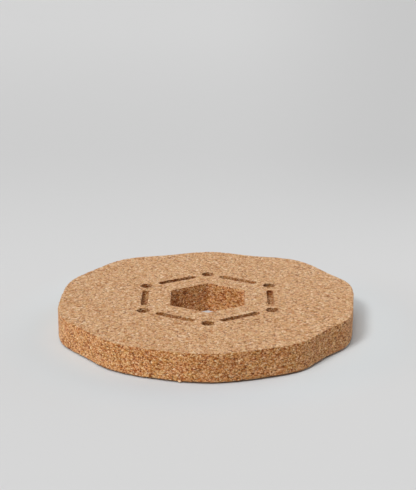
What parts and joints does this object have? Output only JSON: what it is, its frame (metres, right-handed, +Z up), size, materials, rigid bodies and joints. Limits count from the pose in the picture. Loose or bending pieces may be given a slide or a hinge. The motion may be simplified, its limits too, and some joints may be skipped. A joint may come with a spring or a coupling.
{
  "type": "trivet",
  "caption": "Flat cork trivet with a wavy, nearly round rim, a six-sided opening through its middle and a ring of short grooves and dimples on top.",
  "frame": {"origin": "middle of the slab's box, on the flat face that it stands on", "axes": "+Z up out of the grooved top face, +Y away from the user, +X to the user's right"},
  "size_m": [0.199, 0.2014, 0.02],
  "materials": {
    "cork": "matte"
  },
  "bodies": {
    "root": {"cork_slab": "cork"}
  },
  "joints": []
}
